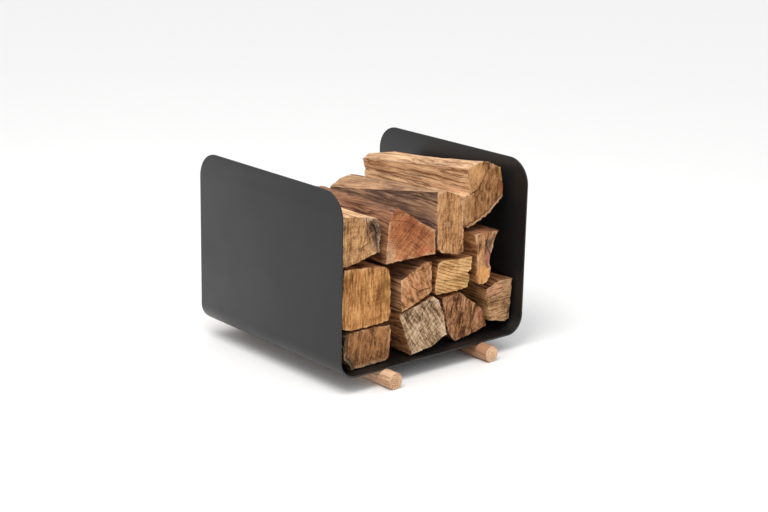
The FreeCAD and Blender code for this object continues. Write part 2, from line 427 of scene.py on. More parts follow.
def build_saw_marks_group():
    """Straight streaks across a sawn end, at a chosen angle."""
    tree, given = new_group(
        "Saw marks",
        [("Vector", "Vector", None), ("Angle", "Float", 0.0), ("Fineness", "Float", 420.0),
         ("Streak length", "Float", 0.05), ("Offset", "Float", 0.0)],
        [("Marks", "Float"), ("Broad marks", "Float")])
    parts = separate(tree, given["Vector"])
    cosine = math_node(tree, "COSINE", given["Angle"])
    sine = math_node(tree, "SINE", given["Angle"])
    along = math_node(tree, "ADD", math_node(tree, "MULTIPLY", parts[0], cosine),
                      math_node(tree, "MULTIPLY", parts[2], sine))
    across = math_node(tree, "SUBTRACT", math_node(tree, "MULTIPLY", parts[2], cosine),
                       math_node(tree, "MULTIPLY", parts[0], sine))
    sway = math_node(tree, "MULTIPLY_ADD", noise_node(tree, given["Vector"], 40.0, 1.0),
                     0.004, -0.002)
    across = math_node(tree, "ADD", across, sway)
    short = math_node(tree, "MULTIPLY", given["Fineness"], given["Streak length"])
    place = combine(tree, math_node(tree, "MULTIPLY", across, given["Fineness"]),
                    math_node(tree, "MULTIPLY", along, short), given["Offset"])
    marks = noise_node(tree, place, 1.0, 5.0, 0.78)
    broad = noise_node(tree, vector_node(tree, "MULTIPLY", place, (0.3, 0.5, 1.0)), 1.0, 3.0)
    close_group(tree, {"Marks": marks, "Broad marks": broad})


def build_mottle_group():
    """Soft blotches and small pores."""
    tree, given = new_group(
        "Mottle",
        [("Vector", "Vector", None), ("Scale", "Float", 30.0), ("Offset", "Float", 0.0)],
        [("Blotches", "Float"), ("Pores", "Float")])
    shift = combine(tree, given["Offset"], given["Offset"])
    place = vector_node(tree, "ADD", given["Vector"], shift)
    blotches = noise_node(tree, place, given["Scale"], 4.0, 0.55, 0.3)
    pores = noise_node(tree, place, 900.0, 2.0, 0.7)
    close_group(tree, {"Blotches": blotches, "Pores": pores})


def build_patch_group():
    """A ragged round patch on a sawn end."""
    tree, given = new_group(
        "Patch",
        [("Vector", "Vector", None), ("Centre", "Vector", (0.0, 0.0, 0.0)),
         ("Radii", "Vector", (0.02, 1.0, 0.02)), ("Raggedness", "Float", 1.3)],
        [("Mask", "Float")])
    flat = vector_node(tree, "SUBTRACT", given["Vector"], given["Centre"])
    reach = vector_node(tree, "LENGTH", vector_node(tree, "DIVIDE", flat, given["Radii"]))
    ragged = math_node(tree, "SUBTRACT", noise_node(tree, given["Vector"], 130.0, 5.0, 0.7), 0.5)
    reach = math_node(tree, "MULTIPLY_ADD", ragged, given["Raggedness"], reach)
    mask = map_range(tree, reach, 0.55, 1.2, 1.0, 0.0)
    close_group(tree, {"Mask": mask})


def build_bark_plates_group():
    """Furrowed bark: rough plates stretched along the log."""
    tree, given = new_group(
        "Bark plates",
        [("Vector", "Vector", None), ("Scale", "Float", 70.0)],
        [("Plates", "Float"), ("Furrows", "Float"), ("Lichen", "Float")])
    place = vector_node(tree, "MULTIPLY", given["Vector"], (1.0, 0.35, 1.0))
    plates = noise_node(tree, place, math_node(tree, "MULTIPLY", given["Scale"], 4.0), 5.0, 0.7)
    furrows = vein(tree, noise_node(tree, place, given["Scale"], 3.0, 0.6, 0.8), 0.01, 0.09)
    lichen = map_range(tree, noise_node(tree, given["Vector"], 45.0, 5.0, 0.7), 0.56, 0.68)
    close_group(tree, {"Plates": plates, "Furrows": furrows, "Lichen": lichen})


def build_powder_coat_group():
    """The fine orange-peel grain of a powder coat, with faint dust and handling marks."""
    tree, given = new_group(
        "Powder coat",
        [("Vector", "Vector", None), ("Grain", "Float", 2200.0)],
        [("Peel", "Float"), ("Dust", "Float"), ("Cloud", "Float")])
    peel = noise_node(tree, given["Vector"], given["Grain"], 2.0, 0.5)
    specks = noise_node(tree, given["Vector"], 520.0, 2.0, 0.6)
    dust = map_range(tree, specks, 0.70, 0.80)
    cloud = noise_node(tree, given["Vector"], 7.0, 4.0, 0.6)
    close_group(tree, {"Peel": peel, "Dust": dust, "Cloud": cloud})


def build_groups():
    """Make every shared node group once."""
    if "Split fibres" in bpy.data.node_groups:
        return
    for build in (build_split_fibres_group, build_growth_rings_group, build_saw_marks_group,
                  build_mottle_group, build_patch_group, build_bark_plates_group,
                  build_powder_coat_group):
        build()


# --- Materials --------------------------------------------------------------------------


def powder_coat_material(settings):
    """Fine matt black powder coat on steel."""
    material, tree, shader = new_material("black powder coat")
    place = object_place(tree)
    coat = use_group(tree, "Powder coat", Vector=place)
    colour = stain(tree, tuple(settings.coat_colour), coat["Cloud"], 0.35,
                   shade(settings.coat_colour, 2.2))
    colour = stain(tree, colour, coat["Dust"], 0.10, paint(120, 118, 114))
    rough = map_range(tree, coat["Cloud"], 0.3, 0.7, settings.coat_roughness - 0.04,
                      settings.coat_roughness + 0.05)
    set_shader(tree, shader, Base_Color=colour, Roughness=rough, Specular_IOR_Level=0.5,
               Normal=bump(tree, coat["Peel"], 0.25, 0.0002))
    return material


def turned_beech_material(name, colour, is_end, pith):
    """Pale turned beech: short dark flecks along the bar, rings on its ends."""
    material, tree, shader = new_material(name)
    place = object_place(tree)
    light = shade(colour, 1.3)
    dark = tuple(value * share for value, share in zip(colour[:3], (0.62, 0.50, 0.38))) + (1.0,)
    fibres = use_group(tree, "Split fibres", Vector=place, Across=300.0, Along=14.0,
                       Offset=0.3)
    mottle = use_group(tree, "Mottle", Vector=place, Scale=30.0, Offset=0.7)
    factor = weigh(tree, 0.60, (fibres["Fibres"], 1.4), (fibres["Bands"], 0.8),
                   (mottle["Blotches"], 0.4))
    height = fibres["Fibres"]
    if is_end:
        rings = use_group(tree, "Growth rings", Vector=place, Spacing=0.0034, Wobble=0.002,
                          Pith=pith)
        factor = weigh(tree, 0.46, (rings["Lines"], -0.35), (rings["Rings"], 0.9),
                       (rings["Rays"], 1.2), (mottle["Pores"], -0.9),
                       (mottle["Blotches"], 0.8))
        height = rings["Rays"]
    tones = (shade(dark, 0.7), dark, tuple(colour), light)
    set_shader(tree, shader, Base_Color=tone_ramp(tree, factor, tones), Roughness=0.6,
               Specular_IOR_Level=0.35, Normal=bump(tree, height, 0.4, 0.0005))
    return material


def plated_steel_material(settings):
    """Zinc-plated screw steel, faintly brushed."""
    material, tree, shader = new_material("plated screw steel")
    place = object_place(tree)
    brushed = noise_node(tree, place, 1400.0, 3.0, 0.6)
    colour = mix_colour(tree, brushed, tuple(settings.steel_colour), paint(120, 122, 124))
    set_shader(tree, shader, Base_Color=colour, Metallic=1.0,
               Roughness=map_range(tree, brushed, 0.3, 0.7, 0.28, 0.42),
               Normal=bump(tree, brushed, 0.15, 0.0001))
    return material


# Split faces: light, middle and dark tones, how far the fibres spread them, how dark the
# cracks are, and how much of the face has weathered to grey.
SPLIT_FINISHES = {
    "golden split wood": dict(tones=((244, 200, 156), (212, 166, 124), (150, 106, 68)),
                              spread=1.0, cracks=0.55, grey=0.06),
    "smooth tan wood": dict(tones=((200, 160, 124), (172, 132, 98), (126, 88, 62)),
                            spread=0.7, cracks=0.3, grey=0.1),
    "dusty split wood": dict(tones=((226, 186, 146), (190, 150, 114), (134, 96, 66)),
                             spread=1.0, cracks=0.6, grey=0.06),
    "tan split wood": dict(tones=((206, 158, 116), (166, 118, 80), (108, 68, 42)),
                           spread=1.0, cracks=0.6, grey=0.1),
    "brown split wood": dict(tones=((200, 146, 96), (158, 106, 64), (94, 54, 28)),
                             spread=1.0, cracks=0.75, grey=0.04),
    "dull split wood": dict(tones=((172, 122, 84), (134, 88, 58), (80, 46, 28)),
                            spread=0.9, cracks=0.7, grey=0.15),
    "red split wood": dict(tones=((182, 134, 104), (146, 98, 72), (88, 50, 34)),
                           spread=1.0, cracks=0.6, grey=0.03),
    "straw split wood": dict(tones=((222, 178, 122), (184, 136, 86), (118, 78, 44)),
                             spread=1.0, cracks=0.6, grey=0.05),
    "weathered split wood": dict(tones=((182, 146, 114), (138, 104, 80), (86, 60, 46)),
                                 spread=1.0, cracks=0.7, grey=0.30),
}


def split_material(name, tones, spread, cracks, grey):
    """Split wood: torn fibres in several tones, dark cracks and grey weathered streaks."""
    material, tree, shader = new_material(name)
    place = object_place(tree)
    offset = (len(name) % 7) * 0.13
    fibres = use_group(tree, "Split fibres", Vector=place, Across=210.0, Along=9.0,
                       Offset=offset)
    mottle = use_group(tree, "Mottle", Vector=place, Scale=16.0, Offset=offset)
    light, middle, dark = (paint(*tone) for tone in tones)
    factor = weigh(tree, 0.56, (fibres["Fibres"], 1.6 * spread), (fibres["Bands"], 0.6 * spread),
                   (mottle["Blotches"], 0.5))
    colour = tone_ramp(tree, factor, (shade(dark, 0.45), dark, middle, light))
    weathered = map_range(tree, mottle["Blotches"], 0.40, 0.56, 1.0, 0.0)
    colour = stain(tree, colour, weathered, grey, paint(112, 92, 88))
    colour = stain(tree, colour, fibres["Cracks"], cracks, shade(dark, 0.22))
    set_shader(tree, shader, Base_Color=colour, Roughness=0.82, Specular_IOR_Level=0.25,
               Normal=bump(tree, fibres["Height"], 0.9, 0.0016))
    return material


BARK_FINISHES = {
    "grey bark": dict(ridge=(132, 118, 106), plate=(92, 78, 68), furrow=(42, 32, 27)),
    "brown bark": dict(ridge=(150, 116, 88), plate=(104, 74, 52), furrow=(48, 32, 22)),
    "pale bark": dict(ridge=(190, 150, 110), plate=(154, 112, 76), furrow=(88, 60, 40)),
}


def bark_material(name, ridge, plate, furrow):
    """Rough bark with dark furrows and a few pale specks."""
    material, tree, shader = new_material(name)
    place = object_place(tree)
    bark = use_group(tree, "Bark plates", Vector=place, Scale=75.0)
    colour = mix_colour(tree, map_range(tree, bark["Plates"], 0.38, 0.66), paint(*plate),
                        paint(*ridge))
    colour = stain(tree, colour, bark["Lichen"], 0.35, paint(168, 166, 138))
    colour = mix_colour(tree, bark["Furrows"], colour, paint(*furrow))
    height = math_node(tree, "SUBTRACT", bark["Plates"], bark["Furrows"])
    set_shader(tree, shader, Base_Color=colour, Roughness=0.92, Specular_IOR_Level=0.2,
               Normal=bump(tree, height, 1.0, 0.0015))
    return material


def place_in_box(box, across, up):
    """A point given as shares of a log's width and height, as X and Z in metres."""
    low, high = box
    return low.x + across * (high.x - low.x), low.z + up * (high.z - low.z)


def vertex_mask(tree, name):
    """A mask that the mesh carries, such as how near a point is to a crack."""
    return add_node(tree, "ShaderNodeAttribute", {}, attribute_name=name).outputs["Fac"]


def sawn_end_material(name, box, spec):
    """One log's sawn ends: saw streaks, rings, patches (mostly stains, a few partly painted
    shade), a pale rim, and cracks painted dark as the shade inside them.
    """
    material, tree, shader = new_material(name + " sawn end")
    place = object_place(tree)
    offset = spec["seed"] * 1.7
    pith_x, pith_z = place_in_box(box, *spec["pith"])
    rings = use_group(tree, "Growth rings", Vector=place, Pith=(pith_x, 0.0, pith_z),
                      Spacing=spec["ring_spacing"], Wobble=0.004)
    marks = use_group(tree, "Saw marks", Vector=place, Offset=offset,
                      Angle=math.radians(spec["streak_angle"]),
                      Fineness=spec["streak_fineness"], Streak_length=spec["streak_length"])
    mottle = use_group(tree, "Mottle", Vector=place, Scale=42.0, Offset=offset)
    light, middle, dark = (paint(*tone) for tone in spec["tones"])
    parts = [(marks["Marks"], 1.25 * spec["streaks"]),
             (marks["Broad marks"], 0.35 * spec["streaks"]), (mottle["Blotches"], 0.5),
             (mottle["Pores"], -0.65), (rings["Rings"], spec["rings"]),
             (rings["Lines"], -spec["lines"]), (rings["Rays"], 0.3)]
    if "cross_angle" in spec:
        crossing = use_group(tree, "Saw marks", Vector=place, Offset=offset + 0.5,
                             Angle=math.radians(spec["cross_angle"]),
                             Fineness=spec["streak_fineness"] * 1.2,
                             Streak_length=spec["streak_length"])
        parts.append((crossing["Marks"], 0.8 * spec["streaks"]))
    factor = weigh(tree, 0.55 - 0.4 * spec["lines"], *parts)
    colour = tone_ramp(tree, factor, (shade(dark, 0.6), dark, middle, light))
    for across, up, width, height, tone, strength in spec["patches"]:
        x, z = place_in_box(box, across, up)
        patch = use_group(tree, "Patch", Vector=place, Centre=(x, 0.0, z),
                          Radii=(width, 1e6, height))
        tones = [shade(paint(*tone), share) for share in (0.35, 0.65, 1.0, 1.35)]
        colour = stain(tree, colour, patch["Mask"], strength, tone_ramp(tree, factor, tones))
    near_bark = vertex_mask(tree, "bark")
    band = use_group(tree, "Bark plates", Vector=place, Scale=90.0)
    bark_tone = mix_colour(tree, map_range(tree, band["Plates"], 0.4, 0.62),
                           paint(*spec["bark_tones"][0]), paint(*spec["bark_tones"][1]))
    colour = mix_colour(tree, map_range(tree, near_bark, 0.50, 0.60), colour, bark_tone)
    colour = mix_colour(tree, vein(tree, near_bark, 0.03, 0.13, 0.85), colour,
                        paint(66, 38, 22))
    frayed = math_node(tree, "MULTIPLY", vertex_mask(tree, "rim"),
                       map_range(tree, mottle["Blotches"], 0.46, 0.60, 0.0, 0.6))
    colour = mix_colour(tree, frayed, colour, paint(*spec["rim_tone"]))
    # Painted shade: the cracks are painted near black where the crack layer is, standing in for
    # the shade inside their gaps.
    colour = mix_colour(tree, map_range(tree, vertex_mask(tree, "crack"), 0.02, 0.6), colour,
                        paint(40, 22, 13))
    height = weigh(tree, 0.5, (marks["Marks"], 1.0), (rings["Rings"], 0.4),
                   (mottle["Pores"], -0.5), (mottle["Blotches"], 0.5))
    set_shader(tree, shader, Base_Color=colour, Roughness=0.85, Specular_IOR_Level=0.2,
               Normal=bump(tree, height, 0.9, 0.0016))
    return material


# --- Split logs -------------------------------------------------------------------------

# "split" is the main finish of the log's sides, and "facets" gives other finishes by the
# direction that a side faces: 0 right, 90 up, 180 left, 270 down, in degrees.
# "tones" are the ends' light, middle and dark colours. Places on the ends are shares of the
# log's width and height, from its lower left corner.
# A patch is (across, up, half width, half height, tone, strength), in metres where it is a
# size. A crack is (start across, start up, end across, end up, half width, depth). A torn
# place is (across, up, radius, depth). PLAIN_LOG holds what most of the logs share.
PLAIN_LOG = dict(facets=[], pith=(0.4, 3.0), ring_spacing=0.0060, rings=0.3, lines=0.0,
                 streaks=0.9, patches=[], torn=[], bark_tones=((96, 72, 52), (126, 98, 74)))
LOGS = {
    "bottom_left_log": dict(
        seed=1, slot="split_brown", split="brown split wood", facets=[(150, 250, "brown bark")],
        tones=((194, 138, 92), (150, 103, 62), (88, 56, 34)), pith=(1.5, 2.0),
        ring_spacing=0.0052, streaks=1.0, streak_angle=84, streak_fineness=202.5,
        streak_length=0.16,
        patches=[(0.03, 0.12, 0.026, 0.022, (78, 68, 50), 0.85),
                 (0.5, 0.03, 0.04, 0.006, (196, 164, 126), 0.45)],
        cracks=[(0.62, 1.02, 0.55, 0.35, 0.0007, 0.004)], torn=[(0.04, 0.2, 0.022, 0.003)],
        rim_tone=(206, 168, 126), bark_tones=((74, 58, 42), (104, 90, 66))),
    "bottom_grey_log": dict(
        seed=2, slot="split_grey", split="brown split wood",
        tones=((220, 190, 158), (156, 126, 94), (80, 54, 34)), pith=(-0.6, 1.4), streaks=1.0,
        streak_angle=-58, cross_angle=42, streak_fineness=229.5, streak_length=0.14,
        cracks=[(0.42, 1.02, 0.5, 0.55, 0.0008, 0.004), (0.2, 0.1, 0.62, 0.62, 0.0006, 0.002)],
        rim_tone=(214, 188, 156), bark_tones=((96, 82, 66), (130, 112, 90))),
    "bottom_brown_log": dict(
        seed=3, slot="split_brown", split="brown split wood",
        tones=((206, 158, 116), (148, 100, 62), (80, 44, 22)), pith=(0.2, -1.2), streaks=1.2,
        streak_angle=76, streak_fineness=175.5, streak_length=0.22,
        patches=[(0.86, 0.42, 0.01, 0.022, (146, 92, 62), 0.5)],
        cracks=[(0.2, 0.78, 0.34, 0.14, 0.0008, 0.004), (0.55, 0.92, 0.5, 0.45, 0.0006, 0.003)],
        torn=[(0.85, 0.5, 0.02, 0.0015)], rim_tone=(206, 166, 132),
        bark_tones=((90, 64, 46), (120, 90, 66))),
    "bottom_right_log": dict(
        seed=4, slot="split_straw", split="straw split wood",
        facets=[(80, 150, "brown split wood")],
        tones=((216, 174, 128), (172, 128, 88), (90, 60, 40)), pith=(0.4, 4.0),
        ring_spacing=0.0044, lines=0.15, streak_angle=4, streak_fineness=256.5, streak_length=0.2,
        patches=[(0.2, 0.82, 0.028, 0.018, (194, 142, 108), 0.8),
                 (0.94, 0.22, 0.007, 0.012, (72, 46, 46), 0.9),
                 (0.97, 0.6, 0.004, 0.03, (108, 64, 36), 0.8)],
        cracks=[(0.05, 0.62, 0.6, 0.72, 0.0008, 0.003)], torn=[(0.2, 0.85, 0.022, 0.0025)],
        rim_tone=(206, 172, 132)),
    "middle_left_log": dict(
        seed=5, slot="split_golden", split="brown split wood",
        tones=((222, 168, 110), (180, 124, 70), (122, 76, 36)), rings=0.25, streaks=1.0,
        streak_angle=87, streak_fineness=300.0, streak_length=0.1,
        patches=[(0.9, 0.55, 0.012, 0.026, (134, 96, 40), 0.55),
                 (0.45, 0.15, 0.03, 0.016, (198, 138, 84), 0.4)],
        cracks=[(0.36, 0.02, 0.44, 0.4, 0.0006, 0.003), (0.22, 1.0, 0.24, 0.6, 0.0006, 0.003)],
        torn=[(0.5, 1.0, 0.03, 0.0015)], rim_tone=(226, 186, 140)),
    "middle_tan_log": dict(
        seed=6, slot="split_tan", split="tan split wood", facets=[(60, 130, "dull split wood")],
        tones=((222, 170, 124), (180, 126, 82), (108, 66, 34)), pith=(0.62, 0.9),
        ring_spacing=0.0065, rings=0.5, streak_angle=112, streak_fineness=229.5,
        streak_length=0.24, patches=[(0.5, 0.5, 0.02, 0.016, (186, 124, 84), 0.4)],
        cracks=[(0.3, 0.56, 0.56, 0.4, 0.0008, 0.003), (0.54, 0.39, 0.97, 0.4, 0.0007, 0.003)],
        torn=[(0.55, 0.75, 0.02, 0.0012)], rim_tone=(222, 188, 146)),
    "middle_straw_log": dict(
        seed=7, slot="split_straw", split="brown split wood",
        tones=((238, 194, 138), (210, 162, 106), (150, 106, 58)), pith=(2.4, 8.0),
        ring_spacing=0.0054, rings=0.2, lines=0.3, streaks=0.8, streak_angle=-17,
        streak_fineness=324.0, streak_length=0.06,
        patches=[(0.9, 0.16, 0.008, 0.01, (190, 176, 110), 0.25)],
        cracks=[(0.28, 0.8, 0.98, 0.62, 0.0005, 0.002), (0.1, 0.45, 0.85, 0.22, 0.0005, 0.002)],
        rim_tone=(232, 196, 150)),
    "middle_forked_log": dict(
        seed=8, slot="split_tan", split="brown split wood", facets=[(60, 120, "dull split wood")],
        tones=((216, 164, 116), (170, 120, 80), (88, 56, 36)), pith=(0.5, 2.6),
        ring_spacing=0.004, streak_angle=80, streak_fineness=229.5, streak_length=0.22,
        patches=[(0.42, 0.14, 0.02, 0.026, (212, 152, 92), 0.85),
                 (0.62, 0.74, 0.009, 0.014, (96, 74, 60), 0.75),
                 (0.56, 0.5, 0.008, 0.016, (150, 96, 78), 0.7),
                 (0.6, 0.36, 0.006, 0.006, (108, 62, 44), 0.7)],
        cracks=[(0.46, 0.86, 0.72, 0.5, 0.0012, 0.005)],
        torn=[(0.62, 0.7, 0.014, 0.004), (0.6, 0.42, 0.01, 0.003)], rim_tone=(218, 184, 146)),
    "top_left_log": dict(
        seed=9, slot="split_golden", split="golden split wood", facets=[(-50, 50, "grey bark")],
        tones=((226, 182, 130), (190, 142, 94), (122, 84, 50)), pith=(0.2, -0.8), streaks=0.8,
        streak_angle=84, streak_fineness=243.0, streak_length=0.26,
        # The dark patches at the torn right-hand corner are partly the wood's own darker colour
        # and partly painted shade in its recessed, broken surface and crevices.
        patches=[(0.84, 0.6, 0.021, 0.034, (138, 102, 74), 0.9),
                 (0.72, 0.92, 0.018, 0.009, (196, 162, 138), 0.8),
                 (0.82, 0.7, 0.01, 0.009, (74, 50, 36), 0.8),
                 (0.92, 0.42, 0.009, 0.016, (78, 54, 40), 0.8),
                 (0.76, 0.42, 0.006, 0.012, (170, 130, 94), 0.7)],
        cracks=[(0.44, 0.3, 0.74, 0.42, 0.0006, 0.002), (0.62, 0.96, 0.76, 0.3, 0.0014, 0.005),
                (0.74, 0.86, 0.98, 0.5, 0.0013, 0.005), (0.72, 0.56, 0.98, 0.66, 0.0012, 0.004)],
        torn=[(0.86, 0.62, 0.026, 0.007)], rim_tone=(216, 180, 142),
        bark_tones=((78, 60, 48), (120, 100, 84))),
    "top_red_log": dict(
        seed=10, slot="split_red", split="dull split wood",
        facets=[(95, 152, "red split wood"), (40, 75, "red split wood")],
        tones=((202, 144, 98), (164, 102, 62), (106, 58, 32)), pith=(-0.1, -0.9),
        ring_spacing=0.003, rings=0.5, lines=0.1, streaks=0.6, streak_angle=42,
        streak_fineness=270.0, streak_length=0.12,
        patches=[(0.03, 0.08, 0.018, 0.036, (204, 162, 124), 0.65),
                 (0.76, 0.12, 0.016, 0.008, (206, 116, 84), 0.35),
                 (0.42, 0.55, 0.034, 0.026, (156, 88, 52), 0.5)],
        cracks=[(0.36, 0.02, 0.92, 0.56, 0.0006, 0.003), (0.2, 0.3, 0.62, 0.72, 0.0005, 0.002)],
        rim_tone=(226, 182, 140)),
    "top_tall_log": dict(
        seed=11, slot="split_golden", split="brown split wood",
        facets=[(140, 200, "weathered split wood"), (70, 140, "smooth tan wood")],
        tones=((218, 168, 118), (180, 130, 84), (120, 78, 42)), pith=(0.5, 2.4), rings=0.25,
        streaks=0.85, streak_angle=87, streak_fineness=260.0, streak_length=0.2,
        patches=[(0.3, 0.5, 0.01, 0.005, (222, 180, 134), 0.35)],
        cracks=[(0.66, 1.0, 0.7, 0.62, 0.0006, 0.002)], torn=[(0.6, 0.1, 0.02, 0.001)],
        rim_tone=(230, 190, 148)),
    "top_right_log": dict(
        seed=12, slot="split_golden", split="golden split wood",
        facets=[(270, 340, "pale bark"), (80, 120, "dusty split wood")],
        tones=((198, 150, 104), (154, 106, 64), (86, 50, 26)), pith=(0.0, 1.2), rings=0.35,
        streak_angle=86, streak_fineness=229.5, streak_length=0.24,
        patches=[(0.14, 0.84, 0.028, 0.03, (200, 150, 98), 0.85),
                 (0.38, 0.8, 0.02, 0.018, (198, 146, 96), 0.8),
                 (0.1, 0.26, 0.018, 0.03, (192, 142, 92), 0.65),
                 (0.97, 0.5, 0.009, 0.022, (160, 90, 56), 0.6),
                 (0.92, 0.82, 0.008, 0.02, (180, 134, 78), 0.6),
                 (0.76, 0.94, 0.012, 0.009, (196, 152, 120), 0.6)],
        cracks=[(-0.04, 0.47, 0.4, 0.58, 0.002, 0.01), (0.34, 0.54, 0.66, 0.9, 0.0014, 0.007)],
        torn=[(0.65, 0.6, 0.02, 0.002)], rim_tone=(214, 178, 138),
        bark_tones=((160, 112, 72), (206, 160, 114))),
}


# The noise that shapes the sides has a scale along each axis. A larger one is finer, and the
# small one along Y draws every ridge out along the log.
WARP, GROOVES = (14, 7, 14), (85, 5.5, 85)
SPLINTERS, FIBRES = (170, 9, 170), (330, 16, 330)
BARK_PLATES, BARK_GRAIN = (95, 34, 95), (285, 100, 285)

CALM_END = 0.05         # a side wanders less this near to a sawn end
FOLLOW_REACH = 0.014    # a sawn end follows its outline this far in
WHOLE_RIM = 0.003       # a sawn end is torn to its full depth this far in
FRAYED_RIM = 0.005      # width of the pale frayed edge
BARK_REACH = 0.013      # the bark's mask on a sawn end fades out this far in


def faces_end(face):
    return abs(face.normal.y) > 0.5


def runs_along(edge):
    """Whether an edge runs along the log, rather than round it."""
    direction = edge.verts[1].co - edge.verts[0].co
    return abs(direction.y) > 0.7 * direction.length


def open_log(node):
    """The sides of a CAD log, as one strip for each side and with both ends open."""
    mesh = bmesh.new()
    mesh.from_mesh(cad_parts[node].data)
    # The crack layer marks where the sawn ends are painted dark as the shade inside their cracks.
    for name in ("crack", "rim", "bark"):
        mesh.verts.layers.float.new(name)
    bmesh.ops.remove_doubles(mesh, verts=mesh.verts, dist=MERGE_DISTANCE)
    mesh.normal_update()
    sides = [face for face in mesh.faces if not faces_end(face)]
    bmesh.ops.delete(mesh, geom=sides, context="FACES")
    bmesh.ops.dissolve_limit(mesh, angle_limit=math.radians(1.0), verts=mesh.verts,
                             edges=mesh.edges)
    bmesh.ops.delete(mesh, geom=mesh.faces[:], context="FACES_ONLY")
    bmesh.ops.bridge_loops(mesh, edges=mesh.edges[:])
    bmesh.ops.recalc_face_normals(mesh, faces=mesh.faces)
    return mesh


def facing(face):
    """The direction that a side faces, in degrees: 0 right, 90 up, 180 left, 270 down."""
    return math.degrees(math.atan2(face.normal.z, face.normal.x)) % 360


def finish_names(spec):
    """The finishes of a log's sides, in the order of its material slots after the end."""
    names = [spec["split"]]
    for *_, name in spec["facets"]:
        if name not in names:
            names.append(name)
    return names


def sort_sides(mesh, spec):
    """Give each side of a log its finish."""
    names = finish_names(spec)
    for face in mesh.faces:
        face.material_index = 1
        for first, last, name in spec["facets"]:
            if (facing(face) - first) % 360 <= (last - first) % 360:
                face.material_index = 1 + names.index(name)


def divide_round(mesh, step):
    """Divide the outline of both ends, and so the sides between them, into short steps."""
    pairs = [[edge for edge in face.edges if not runs_along(edge)] for face in mesh.faces]
    for pair in pairs:
        length = max(edge.calc_length() for edge in pair)
        cuts = max(1, round(length / step)) - 1
        if cuts:
            bmesh.ops.subdivide_edges(mesh, edges=pair, cuts=cuts)


def cut_grid(mesh, face, step, box):
    """Divide one sawn end into small squares, and return the geometry of the end."""
    low, high = box
    geometry = [face, *face.edges, *face.verts]
    for axis, start, stop in ((Vector((1, 0, 0)), low.x, high.x),
                              (Vector((0, 0, 1)), low.z, high.z)):
        count = int((stop - start) / step)
        for number in range(1, count + 1):
            point = axis * (start + (number - 0.37) * step)
            result = bmesh.ops.bisect_plane(mesh, geom=geometry, plane_co=point,
                                            plane_no=axis, dist=1e-7)
            geometry = result["geom"]
    return geometry


def cut_crack(mesh, geometry, box, crack, layer, inward):
    """Open one tapering crack in a sawn end, and store its taper in the layer that places the
    crack's painted shade.
    """
    start_across, start_up, end_across, end_up, half_width, depth = crack
    x0, z0 = place_in_box(box, start_across, start_up)
    x1, z1 = place_in_box(box, end_across, end_up)
    start = Vector((x0, 0, z0))
    run = Vector((x1 - x0, 0, z1 - z0))
    across = Vector((-run.z, 0, run.x)).normalized()
    middle = []
    for offset in (-half_width, half_width, 0.0):
        result = bmesh.ops.bisect_plane(mesh, geom=geometry, plane_co=start + across * offset,
                                        plane_no=across, dist=1e-7)
        geometry = result["geom"]
        middle = [item for item in result["geom_cut"] if isinstance(item, bmesh.types.BMVert)]
    for vertex in middle:
        if vertex.is_boundary:
            continue
        share = (Vector((vertex.co.x, 0, vertex.co.z)) - start).dot(run) / run.length_squared
        if 0.0 < share < 1.0:
            taper = min(1.0, 4 * share, 4 * (1 - share))
            sway = noise.noise(Vector((share * 5, depth * 900, 0.5))) * half_width * 0.7
            vertex.co += across * sway
            vertex.co.y += inward * depth * taper
            vertex[layer] = taper
    return geometry


def close_ends(mesh, node, spec, settings):
    """Close both ends: a narrow rim, a grid of small faces and the cracks."""
    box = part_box(node)
    crack_shade_layer = mesh.verts.layers.float["crack"]
    open_edges = [edge for edge in mesh.edges if edge.is_boundary]
    caps = bmesh.ops.holes_fill(mesh, edges=open_edges, sides=0)["faces"]
    for cap in caps:
        cap.material_index = 0
        cap.normal_update()
        inward = -1.0 if cap.normal.y > 0 else 1.0
        rim = bmesh.ops.inset_region(mesh, faces=[cap], thickness=settings.rim_width,
                                     use_even_offset=True, use_boundary=True)["faces"]
        for face in rim:
            face.material_index = 0
        geometry = cut_grid(mesh, cap, settings.skin_step, box)
        for crack in spec["cracks"]:
            geometry = cut_crack(mesh, geometry, box, crack, crack_shade_layer, inward)


def slice_log(mesh, step):
    """Divide the sides along the log."""
    edges = [edge for edge in mesh.edges if runs_along(edge)
             and all(face.material_index for face in edge.link_faces)]
    length = max(edge.calc_length() for edge in edges)
    bmesh.ops.subdivide_edges(mesh, edges=edges, cuts=round(length / step) - 1,
                              use_grid_fill=True)


def ragged(place, scale, seed):
    """Noise from 0 to 1, with its own scale along each axis."""
    point = Vector((place.x * scale[0], place.y * scale[1], place.z * scale[2]))
    return 0.5 + 0.5 * noise.noise(point + Vector((seed * 3.1, seed * 1.3, seed * 2.3)))


def ragged_evenly(place, scale, seed):
    return ragged(place, (scale, scale, scale), seed)


def side_depth(place, seed, is_bark, near_end, settings):
    """How far a point on a side lies under the log's outline."""
    depth = settings.warp_depth * ragged(place, WARP, seed) * (1 - 0.65 * near_end)
    if is_bark:
        wide, long, high = BARK_PLATES
        stretched = Vector((place.x * wide, place.y * long, place.z * high + seed))
        distances = noise.voronoi(stretched)[0]
        furrow = 1 - smoothstep(0.0, 0.35, distances[1] - distances[0])
        depth += settings.bark_depth * (0.75 * furrow + 0.35 * ragged(place, BARK_GRAIN, 1))
    else:
        groove = 1 - 4.4 * abs(ragged(place, GROOVES, seed) - 0.5)
        splinter = 1 - 5.0 * abs(ragged(place, SPLINTERS, seed + 4) - 0.5)
        depth += settings.ridge_depth * (0.5 * max(0.0, groove) + 0.3 * max(0.0, splinter))
        depth += settings.fibre_depth * ragged(place, FIBRES, seed)
    return max(-settings.stand_proud / 2, depth - settings.stand_proud)


